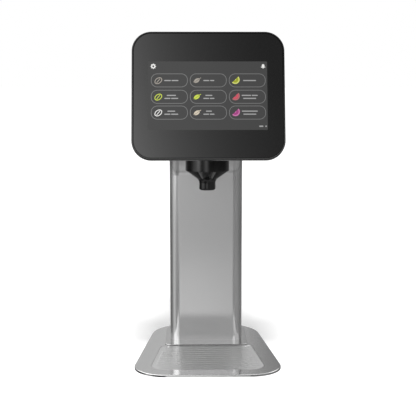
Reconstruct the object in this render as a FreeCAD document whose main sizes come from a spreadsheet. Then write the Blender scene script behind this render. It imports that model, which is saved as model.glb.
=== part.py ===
import FreeCAD, Part
import math
import os

import Sketcher
from FreeCAD import Placement, Rotation, Vector

# A counter-top syrup dispenser: a touchscreen head on a stainless arm and column,
# a pull-off nozzle below the arm and a thin base plate with a ribbed drip insert.
# Millimetres. The origin is on the counter, on the axis of the hose hole under the
# column. +Z is up, +X is to the right of a person facing the screen, and the screen
# looks towards -Y.

DRIVING = {
    "base_front_width": (210, "base plate width at its front edge, before rounding"),
    "base_back_width": (150, "base plate width at its back edge, before rounding"),
    "base_depth": (275, "base plate, front to back"),
    "base_rear_reach": (73, "column axis to the back edge of the base plate"),
    "base_front_radius": (44, "front corners of the base plate"),
    "base_back_radius": (66, "back corners of the base plate"),
    "base_thickness": (3, "base plate sheet"),
    "drip_margin": (23, "flat rim left round the drip recess"),
    "drip_back_gap": (24, "column face to the drip recess"),
    "drip_recess_depth": (1.0, "drip recess below the rim"),
    "drip_front_radius": (21, "front corners of the drip recess"),
    "drip_back_radius": (8, "back corners of the drip recess"),
    "insert_thickness": (0.7, "drip insert sheet"),
    "insert_clearance": (0.3, "gap round the drip insert"),
    "rib_count": (11, "ribs across the drip insert"),
    "rib_pitch": (10, "rib to rib"),
    "rib_width": (2.4, "one rib"),
    "rib_height": (0.4, "rib above the insert sheet"),
    "lift_hole": (6, "lifting hole in the drip insert"),
    "column_width": (106.8, "column, side to side"),
    "column_depth": (68, "column, front to back"),
    "column_radius": (14, "upright edges of the column"),
    "sheet_wall": (2, "stainless wall of column and arm"),
    "neck_bottom": (250, "joint of column and arm above the counter"),
    "neck_radius": (47, "inside bend from the column into the arm"),
    "arm_floor": (298, "underside of the arm above the counter"),
    "arm_top": (366, "top of the arm above the counter"),
    "arm_edge_radius": (14, "long edges of the arm"),
    "flange_width": (121, "foot flange, side to side"),
    "flange_front": (23, "foot flange in front of the column"),
    "flange_rear": (12, "foot flange behind the column"),
    "flange_thickness": (1.2, "foot flange sheet"),
    "foot_plate_thickness": (8, "tapped plate inside the column foot"),
    "hose_bore": (60, "hose hole through the base plate"),
    "counter_bolt_spacing": (82, "tapped holes for the counter bolts"),
    "cover_width": (76, "rear cover"),
    "cover_height": (208, "rear cover"),
    "cover_thickness": (1.5, "rear cover sheet"),
    "cover_centre": (136, "rear cover centre above the counter"),
    "head_width": (195.8, "head, side to side"),
    "head_height": (167, "head, along its tilted face"),
    "head_radius": (25.3, "head corners"),
    "head_tilt": (14.5, "head leans back by this many degrees"),
    "head_forward": (203.3, "head face centre in front of the column axis"),
    "head_centre": (371.1, "head face centre above the counter"),
    "bezel_depth": (7, "bezel edge"),
    "bezel_lip": (2.2, "bezel lip round the glass"),
    "glass_thickness": (3, "touch glass"),
    "glass_sunk": (0.3, "touch glass below the bezel lip"),
    "tape_thickness": (0.8, "foam tape behind the glass"),
    "panel_width": (165, "display panel"),
    "panel_height": (100, "display panel"),
    "panel_thickness": (5.5, "display panel"),
    "housing_inset": (4, "housing inside the bezel outline"),
    "housing_depth": (46, "head face to the back of the housing"),
    "housing_wall": (2.5, "housing wall"),
    "bracket_thickness": (3, "head bracket on the arm"),
    "nozzle_forward": (130, "nozzle axis in front of the column axis"),
    "nozzle_diameter": (59.7, "nozzle skirt"),
    "nozzle_shoulder": (268.3, "bottom of the nozzle skirt above the counter"),
    "nozzle_cone_drop": (13.4, "height of the nozzle cone"),
    "tip_diameter": (22.4, "nozzle tip"),
    "tip_end": (241.3, "nozzle tip above the counter"),
    "spigot_diameter": (52.4, "fixed socket inside the nozzle skirt"),
    "port_pitch": (11, "flavour tubes side by side"),
    "flavour_tube": (6, "flavour tube outside diameter"),
    "water_tube": (8, "water tube outside diameter"),
    "tube_wall": (1, "tube wall"),
    "cable_diameter": (5, "data and power cable"),
    "tube_bend": (30, "tightest tube bend"),
}

doc = FreeCAD.newDocument("touch_dispenser")
sheet = doc.addObject("Spreadsheet::Sheet", "dims")
for row, (alias, (value, meaning)) in enumerate(DRIVING.items(), 1):
    sheet.set(f"A{row}", meaning)
    sheet.set(f"B{row}", str(value))
    sheet.setAlias(f"B{row}", alias)
doc.recompute()


# Sizes: each knows its number and the sheet expression that gives it.
class Size:
    def __init__(self, text, number):
        self.text = text
        self.number = float(number)

    def joined(self, sign, other, number, turned=False):
        left, right = (text_of(other), self.text) if turned else (self.text, text_of(other))
        return Size(f"({left} {sign} {right})", number)

    def __add__(self, other):
        return self.joined("+", other, self.number + plain(other))

    def __radd__(self, other):
        return self.joined("+", other, self.number + plain(other), True)

    def __sub__(self, other):
        return self.joined("-", other, self.number - plain(other))

    def __rsub__(self, other):
        return self.joined("-", other, plain(other) - self.number, True)

    def __mul__(self, other):
        return self.joined("*", other, self.number * plain(other))

    def __rmul__(self, other):
        return self.joined("*", other, self.number * plain(other), True)

    def __truediv__(self, other):
        return self.joined("/", other, self.number / plain(other))

    def __neg__(self):
        return Size(f"(0 - {self.text})", -self.number)


def plain(value):
    return value.number if isinstance(value, Size) else float(value)


def text_of(value):
    return value.text if isinstance(value, Size) else repr(float(value))


def root(value):
    return Size(f"sqrt({value.text})", math.sqrt(value.number))


def dim(alias):
    return Size(f"dims.{alias}", sheet.get(alias))


def bind(thing, prop, value):
    setattr(thing, prop, plain(value))
    if isinstance(value, Size):
        thing.setExpression(prop, value.text)


# Bodies, sketches and features.
PIECES = []


def new_piece(kind, label):
    thing = doc.addObject(kind, label)
    thing.Label = label
    PIECES.append(thing)
    return thing


def new_body(label, kept=True):
    body = doc.addObject("PartDesign::Body", label)
    body.Label = label
    if kept:
        PIECES.append(body)
    return body


def origin_part(body, role):
    return [part for part in body.Origin.OriginFeatures if part.Role == role][0]


def sketch_on(body, role="XY_Plane", offset=0):
    sketch = body.newObject("Sketcher::SketchObject", f"{body.Label}_outline")
    sketch.AttachmentSupport = [(origin_part(body, role), "")]
    sketch.MapMode = "FlatFace"
    sketch.AttachmentOffset = Placement(Vector(0, 0, plain(offset)), Rotation())
    if isinstance(offset, Size):
        sketch.setExpression("AttachmentOffset.Base.z", offset.text)
    return sketch


def pin_point(sketch, piece, end, x, y):
    """Holds one point of the sketch at (x, y) from the origin."""
    for kind, want, axis in (("DistanceX", x, -2), ("DistanceY", y, -1)):
        if abs(plain(want)) < 1e-9:
            sketch.addConstraint(Sketcher.Constraint("PointOnObject", piece, end, axis))
            continue
        forward = plain(want) > 0
        first, second = ((-1, 1), (piece, end)) if forward else ((piece, end), (-1, 1))
        place = sketch.addConstraint(Sketcher.Constraint(kind, *first, *second, abs(plain(want))))
        if isinstance(want, Size):
            sketch.setExpression(f"Constraints[{place}]", want.text if forward else (-want).text)


def polygon(sketch, points):
    """Closed outline of straight lines through the points."""
    corners = [Vector(plain(x), plain(y), 0) for x, y in points]
    lines = [
        sketch.addGeometry(Part.LineSegment(corners[i], corners[(i + 1) % len(corners)]), False)
        for i in range(len(corners))
    ]
    for i, line in enumerate(lines):
        sketch.addConstraint(Sketcher.Constraint("Coincident", line, 2, lines[(i + 1) % len(lines)], 1))
        pin_point(sketch, line, 1, *points[i])
    return lines


def rounded(sketch, width, height, radius, x=0, y=0):
    """Rectangle with rounded corners about (x, y)."""
    w, h, r = plain(width) / 2, plain(height) / 2, plain(radius)
    cx, cy = plain(x), plain(y)

    def line(x0, y0, x1, y1):
        piece = Part.LineSegment(Vector(cx + x0, cy + y0, 0), Vector(cx + x1, cy + y1, 0))
        return sketch.addGeometry(piece, False)

    def corner(x0, y0, start):
        circle = Part.Circle(Vector(cx + x0, cy + y0, 0), Vector(0, 0, 1), r)
        return sketch.addGeometry(Part.ArcOfCircle(circle, start, start + math.pi / 2), False)

    bottom = line(r - w, -h, w - r, -h)
    right = line(w, r - h, w, h - r)
    top = line(w - r, h, r - w, h)
    left = line(-w, h - r, -w, r - h)
    corners = [
        corner(w - r, r - h, -math.pi / 2),
        corner(w - r, h - r, 0),
        corner(r - w, h - r, math.pi / 2),
        corner(r - w, r - h, math.pi),
    ]
    for before, arc, after in zip((bottom, right, top, left), corners, (right, top, left, bottom)):
        sketch.addConstraint(Sketcher.Constraint("Tangent", before, 2, arc, 1))
        sketch.addConstraint(Sketcher.Constraint("Tangent", arc, 2, after, 1))
    for arc in corners[1:]:
        sketch.addConstraint(Sketcher.Constraint("Equal", corners[0], arc))
    sketch.addConstraint(Sketcher.Constraint("Horizontal", bottom))
    sketch.addConstraint(Sketcher.Constraint("Vertical", right))
    if plain(x) or plain(y):
        centre = sketch.addGeometry(Part.Point(Vector(cx, cy, 0)), True)
        pin_point(sketch, centre, 1, x, y)
    else:
        centre = -1
    sketch.addConstraint(Sketcher.Constraint("Symmetric", bottom, 1, top, 1, centre, 1))
    for kind, first, second, want in (
        ("Radius", corners[0], None, radius),
        ("DistanceX", (left, 1), (right, 1), width),
        ("DistanceY", (bottom, 1), (top, 1), height),
    ):
        ends = (first,) if second is None else (*first, *second)
        place = sketch.addConstraint(Sketcher.Constraint(kind, *ends, plain(want)))
        if isinstance(want, Size):
            sketch.setExpression(f"Constraints[{place}]", want.text)


def ring(sketch, x, y, diameter):
    """Circle about (x, y)."""
    circle = Part.Circle(Vector(plain(x), plain(y), 0), Vector(0, 0, 1), plain(diameter) / 2)
    piece = sketch.addGeometry(circle, False)
    pin_point(sketch, piece, 3, x, y)
    place = sketch.addConstraint(Sketcher.Constraint("Diameter", piece, plain(diameter)))
    if isinstance(diameter, Size):
        sketch.setExpression(f"Constraints[{place}]", diameter.text)


def pad(body, sketch, length, reverse=False, both_ways=False):
    feature = body.newObject("PartDesign::Pad", f"{body.Label}_pad")
    feature.Profile = sketch
    feature.Reversed = reverse
    feature.SideType = "Symmetric" if both_ways else "One side"
    bind(feature, "Length", length)
    sketch.Visibility = False
    doc.recompute()
    return feature


def pocket(body, sketch, depth=None, reverse=False):
    """Cuts away from the sketch against its normal, or along it if reversed, and checks that it cut."""
    before = body.Shape.Volume
    feature = body.newObject("PartDesign::Pocket", f"{body.Label}_pocket")
    feature.Profile = sketch
    feature.Reversed = reverse
    if depth is None:
        feature.Type = "ThroughAll"
    else:
        bind(feature, "Length", depth)
    sketch.Visibility = False
    doc.recompute()
    if not body.Shape.Volume < before - 1e-3:
        raise RuntimeError(f"{feature.Name} cuts nothing")
    return feature


def dress(body, kind, size, chosen):
    """Fillet or Chamfer on the edges that chosen(edge) picks."""
    names = [f"Edge{i}" for i, edge in enumerate(body.Shape.Edges, 1) if chosen(edge)]
    if not names:
        raise RuntimeError(f"{body.Label} has no edge to dress")
    feature = body.newObject(f"PartDesign::{kind}", f"{body.Label}_{kind.lower()}")
    feature.Base = (body.Tip if body.Tip is not feature else feature.BaseFeature, names)
    bind(feature, "Radius" if kind == "Fillet" else "Size", size)
    doc.recompute()
    return feature


def upright(edge):
    box = edge.BoundBox
    return box.ZLength > 0.5 and box.XLength < 1e-6 and box.YLength < 1e-6


def at_level(axis, level, within=1e-4):
    """Picks edges that lie in the plane where the named axis has that value."""
    low, high = f"{axis}Min", f"{axis}Max"

    def chosen(edge):
        box = edge.BoundBox
        return abs(getattr(box, low) - level) < within and abs(getattr(box, high) - level) < within

    return chosen


def plate(label, width, depth, radius, thickness, level, x=0, y=0, holes=(), windows=(), kept=True):
    """A flat plate with rounded corners, with round holes (x, y, diameter) and rounded
    windows (width, height, radius, x, y) through it."""
    body = new_body(label, kept)
    outline = sketch_on(body, "XY_Plane", level)
    rounded(outline, width, depth, radius, x, y)
    pad(body, outline, thickness)
    if holes or windows:
        cuts = sketch_on(body, "XY_Plane", level)
        for hole in holes:
            ring(cuts, *hole)
        for window in windows:
            rounded(cuts, *window)
        pocket(body, cuts, None, True)
    return body


def body_turned(label, points):
    """Body turned about its own upright axis from its (radius, height) outline."""
    body = new_body(label)
    profile = sketch_on(body, "XZ_Plane")
    polygon(profile, points)
    turn = body.newObject("PartDesign::Revolution", f"{label}_turn")
    turn.Profile = profile
    turn.ReferenceAxis = (origin_part(body, "Z_Axis"), [""])
    turn.Angle = 360
    profile.Visibility = False
    doc.recompute()
    return body


def on_nozzle_axis(body):
    body.Placement = Placement(Vector(0, NOZZLE_Y, 0), Rotation())
    body.setExpression("Placement.Base.y", (-dim("nozzle_forward")).text)


# Fasteners are made once and set in their places as separate solids.
def turned(points):
    """Solid turned about Z from its (radius, height) outline."""
    corners = [Vector(radius, 0, height) for radius, height in points]
    return Part.Face(Part.makePolygon(corners + corners[:1])).revolve(Vector(), Vector(0, 0, 1), 360)


def pan_screw(shank, length):
    """Pan head above z = 0 with a hexagon socket, shank below."""
    head_radius = 1.9 * shank
    head_height = 1.2 * shank
    rim = [(head_radius, 0), (head_radius, 0.5 * head_height), (0.8 * head_radius, head_height)]
    head = turned([(0, 0)] + rim + [(0, head_height)])
    key = Vector(0.8 * shank, 0, 0.4 * head_height)
    corners = [Rotation(Vector(0, 0, 1), 60 * k).multVec(key) for k in range(7)]
    socket = Part.Face(Part.makePolygon(corners)).extrude(Vector(0, 0, head_height))
    return head.cut(socket).fuse(Part.makeCylinder(shank, length, Vector(0, 0, -length))).removeSplitter()


def countersunk_screw(shank, length):
    """Flat head with its face at z = 0, shank below."""
    cone = Part.makeCone(shank, 1.9 * shank, 0.9 * shank, Vector(0, 0, -0.9 * shank))
    socket = Part.makeCylinder(0.7 * shank, 0.5 * shank, Vector(0, 0, -0.5 * shank))
    return cone.fuse(Part.makeCylinder(shank, length, Vector(0, 0, -length))).cut(socket).removeSplitter()


def group(label, shape, places):
    """Copies of one shape at the given placements, as separate solids of one sub-part."""
    copies = []
    for place in places:
        copy = shape.copy()
        copy.Placement = place
        copies.append(copy)
    piece = new_piece("Part::Feature", label)
    piece.Shape = Part.makeCompound(copies)
    return piece


# The head's own frame: x to the right, y up the tilted face, z out of the face.
HEAD_TURN = 90 - plain(dim("head_tilt"))
HEAD = Placement(
    Vector(0, -plain(dim("head_forward")), plain(dim("head_centre"))), Rotation(Vector(1, 0, 0), HEAD_TURN)
)


def on_head(body):
    """Sets a sub-part that was drawn in the head's frame in its place."""
    body.Placement = HEAD
    body.setExpression("Placement.Base.y", (-dim("head_forward")).text)
    body.setExpression("Placement.Base.z", dim("head_centre").text)
    body.setExpression("Placement.Rotation.Angle", (90 - dim("head_tilt")).text)
    return body


def head_place(x, y, z, flip=False):
    turn = Rotation(Vector(1, 0, 0), 180) if flip else Rotation()
    return HEAD.multiply(Placement(Vector(x, y, z), turn))


# Shared positions.
COLUMN_FACE = -dim("column_depth") / 2
DRIP_BACK = COLUMN_FACE - dim("drip_back_gap")
BASE_FRONT = dim("base_rear_reach") - dim("base_depth")
SIDE_SLOPE = (dim("base_front_width") - dim("base_back_width")) / (2 * dim("base_depth"))
SIDE_LENGTH = root(1 + SIDE_SLOPE * SIDE_SLOPE)
COLUMN_INSIDE = (
    dim("column_width") - 2 * dim("sheet_wall"),
    dim("column_depth") - 2 * dim("sheet_wall"),
    dim("column_radius") - dim("sheet_wall"),
)


def base_half_width(y, margin):
    """Half the base plate's width at y, less a margin square to its slanting side."""
    return dim("base_front_width") / 2 - SIDE_SLOPE * (y - BASE_FRONT) - margin * SIDE_LENGTH


def tapered_outline(sketch, front, back, margin):
    polygon(
        sketch,
        [
            (-base_half_width(front, margin), front),
            (base_half_width(front, margin), front),
            (base_half_width(back, margin), back),
            (-base_half_width(back, margin), back),
        ],
    )


def round_corners(body, front_radius, back_radius, middle, level=None):
    """Rounds the upright corner edges, front ones and back ones apart."""
    for radius, is_front in ((front_radius, True), (back_radius, False)):

        def chosen(edge):
            at = edge.CenterOfMass
            deep_enough = level is None or edge.BoundBox.ZMin > level - 0.01
            return upright(edge) and deep_enough and (at.y < middle) == is_front

        dress(body, "Fillet", radius, chosen)


# Base plate: one stainless sheet, wide at the front, with the drip recess.
BASE_TOP = dim("base_thickness")
RECESS_FLOOR = BASE_TOP - dim("drip_recess_depth")
RECESS_FRONT = BASE_FRONT + dim("drip_margin")
FOOT_SCREWS = [(x, y) for x in (-43, 43) for y in (-24, 24)]
FOOT_SCREW_RADIUS = 2.5
COUNTER_BOLT_HOLE = 6.6


def make_base_plate():
    body = new_body("base_plate")
    outline = sketch_on(body)
    tapered_outline(outline, BASE_FRONT, dim("base_rear_reach"), 0)
    pad(body, outline, BASE_TOP)
    round_corners(body, dim("base_front_radius"), dim("base_back_radius"), 0)
    dress(body, "Fillet", 0.6, at_level("Z", plain(BASE_TOP)))
    recess = sketch_on(body, "XY_Plane", BASE_TOP)
    tapered_outline(recess, RECESS_FRONT, DRIP_BACK, dim("drip_margin"))
    pocket(body, recess, dim("drip_recess_depth"))
    floor = plain(RECESS_FLOOR)
    middle = (plain(RECESS_FRONT) + plain(DRIP_BACK)) / 2
    round_corners(body, dim("drip_front_radius"), dim("drip_back_radius"), middle, floor)
    holes = sketch_on(body)
    ring(holes, 0, 0, dim("hose_bore"))
    for x, y in FOOT_SCREWS:
        ring(holes, x, y, 2 * FOOT_SCREW_RADIUS + 0.2)
    for side in (-1, 1):
        ring(holes, side * dim("counter_bolt_spacing") / 2, 0, COUNTER_BOLT_HOLE)
    pocket(body, holes, None, True)

    def screw_rim(edge):
        is_circle = hasattr(edge.Curve, "Radius") and abs(edge.Curve.Radius - FOOT_SCREW_RADIUS - 0.1) < 1e-6
        return is_circle and at_level("Z", 0)(edge)

    dress(body, "Chamfer", 2.4, screw_rim)


# Drip insert: thin ribbed sheet that lies in the recess and lifts out.
def make_drip_insert():
    body = new_body("drip_insert")
    gap = dim("insert_clearance")
    front = RECESS_FRONT + gap
    back = DRIP_BACK - gap
    outline = sketch_on(body, "XY_Plane", RECESS_FLOOR)
    tapered_outline(outline, front, back, dim("drip_margin") + gap)
    pad(body, outline, dim("insert_thickness"))
    middle = (plain(front) + plain(back)) / 2
    round_corners(body, dim("drip_front_radius") - gap, dim("drip_back_radius") - gap, middle)
    insert_top = RECESS_FLOOR + dim("insert_thickness")
    ribs = sketch_on(body, "XY_Plane", insert_top)
    half_run = (plain(dim("rib_count")) - 1) / 2
    for rib in range(int(plain(dim("rib_count")))):
        y = (front + back) / 2 + (rib - half_run) * dim("rib_pitch")
        end_gap = 11 if rib == 0 else 5
        length = 2 * base_half_width(y, dim("drip_margin") + end_gap)
        rounded(ribs, length, dim("rib_width"), dim("rib_width") / 2 - 0.01, 0, y)
    pad(body, ribs, dim("rib_height"))
    dress(body, "Fillet", 0.35, at_level("Z", plain(insert_top + dim("rib_height"))))
    lift = sketch_on(body, "XY_Plane", insert_top + dim("rib_height"))
    for side in (-1, 1):
        ring(lift, side * base_half_width(back - 4.5, dim("drip_margin") + 10), back - 4.5, dim("lift_hole"))
    pocket(body, lift)


# Foot flange: thin polished skirt under the column.
def make_foot_flange():
    depth = dim("flange_front") + dim("column_depth") + dim("flange_rear")
    centre = (dim("flange_rear") - dim("flange_front")) / 2
    body = plate(
        "foot_flange", dim("flange_width"), depth, 8, dim("flange_thickness"), BASE_TOP, 0, centre,
        windows=[COLUMN_INSIDE],
    )
    top = plain(BASE_TOP + dim("flange_thickness"))
    dress(body, "Fillet", 0.5, lambda edge: at_level("Z", top)(edge) and not inside_column(edge))


def inside_column(edge):
    """True for an edge of the opening under the column."""
    box = edge.BoundBox
    half_width = plain(dim("column_width")) / 2
    half_depth = plain(dim("column_depth")) / 2
    return max(-box.XMin, box.XMax) < half_width and max(-box.YMin, box.YMax) < half_depth


# Foot plate: tapped block inside the column foot, screwed to the base plate from below.
FOOT_PLATE_TOP = BASE_TOP + dim("foot_plate_thickness")


def make_foot_plate():
    slack = 0.2
    width, depth, radius = COLUMN_INSIDE
    holes = [(0, 0, dim("hose_bore"))]
    holes += [(x, y, 2 * FOOT_SCREW_RADIUS + 0.1) for x, y in FOOT_SCREWS]
    holes += [(side * dim("counter_bolt_spacing") / 2, 0, 5) for side in (-1, 1)]
    plate(
        "foot_plate", width - slack, depth - slack, radius, dim("foot_plate_thickness"), BASE_TOP,
        holes=holes,
    )
    upside_down = Rotation(Vector(1, 0, 0), 180)
    group(
        "foot_screws",
        countersunk_screw(FOOT_SCREW_RADIUS, 10.2),
        [Placement(Vector(x, y, 0.1), upside_down) for x, y in FOOT_SCREWS],
    )


# Column: rounded stainless tube with a service window in its back.
COVER_SCREWS = [(x, z) for x in (-34, 34) for z in (-98, 0, 98)]
SMALL_SCREW = 1.5


def make_column():
    wall = dim("sheet_wall")
    bottom = BASE_TOP + dim("flange_thickness")
    body = plate(
        "column_shell", dim("column_width"), dim("column_depth"), dim("column_radius"),
        dim("neck_bottom") - bottom, bottom,
        windows=[COLUMN_INSIDE],
    )
    window = sketch_on(body, "XZ_Plane", -dim("column_depth") / 2)
    rounded(window, dim("cover_width") - 16, dim("cover_height") - 16, 6, 0, dim("cover_centre"))
    for x, z in COVER_SCREWS:
        ring(window, x, dim("cover_centre") + z, 2 * SMALL_SCREW + 0.1)
    pocket(body, window, wall + 1, True)

    cover = new_body("column_rear_cover")
    outline = sketch_on(cover, "XZ_Plane", -dim("column_depth") / 2)
    rounded(outline, dim("cover_width"), dim("cover_height"), 8, 0, dim("cover_centre"))
    pad(cover, outline, dim("cover_thickness"), True)
    holes = sketch_on(cover, "XZ_Plane", -dim("column_depth") / 2 - dim("cover_thickness"))
    for x, z in COVER_SCREWS:
        ring(holes, x, dim("cover_centre") + z, 2 * SMALL_SCREW + 0.3)
    pocket(cover, holes, None, True)
    outer = plain(dim("column_depth") / 2 + dim("cover_thickness"))
    dress(cover, "Fillet", 0.6, lambda edge: at_level("Y", outer)(edge) and not round_hole(edge))
    backwards = Rotation(Vector(1, 0, 0), -90)
    group(
        "rear_cover_screws",
        pan_screw(SMALL_SCREW, 6),
        [Placement(Vector(x, outer, plain(dim("cover_centre")) + z), backwards) for x, z in COVER_SCREWS],
    )


# Arm: bent stainless tube that rises from the column and reaches forward to the tilted head.
LEAN = math.tan(math.radians(plain(dim("head_tilt"))))


def head_plane_y(depth, height):
    """y of the plane parallel to the head face, at that depth behind it and height above the counter."""
    lean = Size("tan(dims.head_tilt)", LEAN)
    along = Size("cos(dims.head_tilt)", math.cos(math.radians(plain(dim("head_tilt")))))
    return depth / along - dim("head_forward") + (height - dim("head_centre")) * lean


def arm_block(label, skin):
    """The arm's outer form for a skin of 0, or the space inside its wall, open below and in front."""
    body = new_body(label, False)
    profile = sketch_on(body, "YZ_Plane")
    open_end = 5
    outside = plain(skin) == 0
    floor = dim("arm_floor") + skin
    top = dim("arm_top") - skin
    half_depth = dim("column_depth") / 2 - skin
    front_depth = dim("housing_depth") + dim("bracket_thickness") - (0 if outside else open_end)
    bottom = dim("neck_bottom") - (0 if outside else open_end)
    polygon(
        profile,
        [
            (head_plane_y(front_depth, floor), floor),
            (-half_depth, floor),
            (-half_depth, bottom),
            (half_depth, bottom),
            (half_depth, top),
            (head_plane_y(front_depth, top), top),
        ],
    )
    pad(body, profile, dim("column_width") - 2 * skin, False, True)
    rear = plain(half_depth)
    low = plain(floor)
    high = plain(top)
    side = plain(dim("column_width") / 2 - skin)

    def inside_corner(edge):
        return at_level("Y", -rear)(edge) and at_level("Z", low)(edge)

    def rear_corner(edge):
        return upright(edge) and at_level("Y", rear)(edge)

    def lower_edge(edge):
        on_side = at_level("X", side)(edge) or at_level("X", -side)(edge)
        middle = edge.CenterOfMass
        return on_side and plain(bottom) < middle.z < low + 0.01 and middle.y < 0.01 - rear

    def top_rim(edge):
        return at_level("Z", high)(edge) and not (edge.BoundBox.XLength > 60 and edge.CenterOfMass.y < 0)

    dress(body, "Fillet", dim("neck_radius") + skin, inside_corner)
    dress(body, "Fillet", dim("column_radius") - skin, rear_corner)
    dress(body, "Fillet", dim("arm_edge_radius") - skin, lower_edge)
    dress(body, "Fillet", dim("arm_edge_radius") - skin, top_rim)
    return body


UNDERPLATE = (82, 81, -125.5)
UNDERPLATE_SCREWS = [(x, y) for x in (-37.6, 37.6) for y in (-162, -125.5, -89)]
UNDERPLATE_THICKNESS = 2


def make_arm():
    outer = arm_block("arm_outside", Size("0", 0))
    inner = arm_block("arm_inside", dim("sheet_wall"))
    wall = dim("sheet_wall")
    openings = plate("arm_floor_openings", 69.2, 66, 4, wall + 2, dim("arm_floor") - 1, 0, -123, kept=False)
    openings.AllowCompound = True
    holes = sketch_on(openings, "XY_Plane", dim("arm_floor") - 1)
    for x, y in UNDERPLATE_SCREWS:
        ring(holes, x, y, 2 * SMALL_SCREW + 0.1)
    pad(openings, holes, wall + 2)
    hollow = doc.addObject("Part::Cut", "arm_hollow")
    hollow.Base = outer
    hollow.Tool = inner
    arm = new_piece("Part::Cut", "arm_shell")
    arm.Base = hollow
    arm.Tool = openings

    width, depth, centre = UNDERPLATE
    under = dim("arm_floor") - UNDERPLATE_THICKNESS
    body = plate(
        "arm_underplate", width, depth, 6, UNDERPLATE_THICKNESS, under, 0, centre,
        holes=[(x, y, 2 * SMALL_SCREW + 0.3) for x, y in UNDERPLATE_SCREWS]
        + [(0, -dim("nozzle_forward"), 47)]
        + [(x, y, 2 * SMALL_SCREW + 0.1) for x, y in MANIFOLD_SCREWS]
        + [(place.x, place.y + NOZZLE_Y, 2 * SMALL_SCREW + 0.1) for place in SOCKET_SCREWS],
    )

    def lower_rim(edge):
        return at_level("Z", plain(under))(edge) and not round_hole(edge)

    dress(body, "Fillet", 0.8, lower_rim)
    upside_down = Rotation(Vector(1, 0, 0), 180)
    group(
        "underplate_screws",
        pan_screw(SMALL_SCREW, 6),
        [Placement(Vector(x, y, plain(under)), upside_down) for x, y in UNDERPLATE_SCREWS],
    )


def round_hole(edge):
    return hasattr(edge.Curve, "Radius") and edge.isClosed()


# Manifold: one vertical port for each line, met by a level channel from the back.
NOZZLE_Y = -plain(dim("nozzle_forward"))
PITCH = plain(dim("port_pitch"))
PORT_COLUMNS = [-1.5 * PITCH, -0.5 * PITCH, 0.5 * PITCH, 1.5 * PITCH]
PORT_ROWS = [(8, 316, -14), (-8, 330, 0)]
LINES = [
    (x, NOZZLE_Y + row, level, column_y, plain(dim("flavour_tube")) / 2)
    for row, level, column_y in PORT_ROWS
    for x in PORT_COLUMNS
] + [(0, NOZZLE_Y, 344, 14, plain(dim("water_tube")) / 2)]
MANIFOLD_BACK = -108
MANIFOLD_HEIGHT = 54
BARB_LENGTH = 12
EAR_THICKNESS = 5
MANIFOLD_SCREWS = [(x, NOZZLE_Y + y) for x in (-31.1, 31.1) for y in (-14, 14)]
SOCKET_SCREWS = [Rotation(Vector(0, 0, 1), 90 * k).multVec(Vector(30, 0, 0)) for k in range(4)]
STEM_BOTTOM = 278
VALVE_RADIUS = 3.5
VALVE_SEAT = 5


def channel_width(tube):
    return 1.2 * (tube - plain(dim("tube_wall")))


def make_manifold():
    floor = dim("arm_floor")
    body = plate("manifold", 56, 42, 3, MANIFOLD_HEIGHT, floor, 0, MANIFOLD_BACK - 21)
    ears = sketch_on(body, "XY_Plane", floor)
    rounded(ears, 68.4, 40, 4, 0, -dim("nozzle_forward"))
    pad(body, ears, EAR_THICKNESS)
    stem = sketch_on(body, "XY_Plane", STEM_BOTTOM)
    ring(stem, 0, -dim("nozzle_forward"), 45.6)
    pad(body, stem, floor - STEM_BOTTOM)
    for start, length, slack in ((0, BARB_LENGTH, 0.3), (BARB_LENGTH - 4, 2.5, 0.05)):
        barbs = sketch_on(body, "XZ_Plane", -MANIFOLD_BACK - start)
        for x, _, level, _, tube in LINES:
            ring(barbs, x, level, 2 * (tube - plain(dim("tube_wall")) - slack))
        pad(body, barbs, length, True)
    for level in sorted({line[2] for line in LINES}):
        channels = sketch_on(body, "XZ_Plane", -MANIFOLD_BACK - BARB_LENGTH)
        drops = sketch_on(body, "XY_Plane", STEM_BOTTOM)
        for x, y, line_level, _, tube in LINES:
            if line_level == level:
                ring(channels, x, level, channel_width(tube))
                ring(drops, x, y, 0.8 * channel_width(tube))
                reach = MANIFOLD_BACK + BARB_LENGTH - y + channel_width(tube) / 2
        pocket(body, channels, reach, True)
        pocket(body, drops, level - STEM_BOTTOM, True)
    seats = sketch_on(body, "XY_Plane", STEM_BOTTOM)
    for x, y, *_ in LINES:
        ring(seats, x, y, 2 * VALVE_RADIUS + 0.1)
    pocket(body, seats, VALVE_SEAT, True)
    holes = sketch_on(body, "XY_Plane", floor)
    for x, y in MANIFOLD_SCREWS:
        ring(holes, x, y, 2 * SMALL_SCREW + 0.3)
    pocket(body, holes, EAR_THICKNESS, True)
    ear_top = plain(floor) + EAR_THICKNESS
    group(
        "manifold_screws",
        pan_screw(SMALL_SCREW, 6.8),
        [Placement(Vector(x, y, ear_top), Rotation()) for x, y in MANIFOLD_SCREWS],
    )
    cup = [(1.2, 1.2), (1.2, 4.9), (VALVE_RADIUS, 4.9), (VALVE_RADIUS, 0)]
    bill = [(2.6, 0), (1.2, -4.2), (0, -4.2), (0, -2.6)]
    valve = turned(cup + bill)
    group("duckbill_valves", valve, [Placement(Vector(x, y, STEM_BOTTOM), Rotation()) for x, y, *_ in LINES])


# Nozzle socket: fixed flange and spigot with two O-rings that the nozzle pulls off.
SOCKET_TOP = 296
SOCKET_FLANGE = 4
SPIGOT_BOTTOM = 272
O_RING_LEVELS = (278.5, 285)
O_RING_WIRE = 1.0
NOZZLE_INSIDE = 26.8


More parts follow.
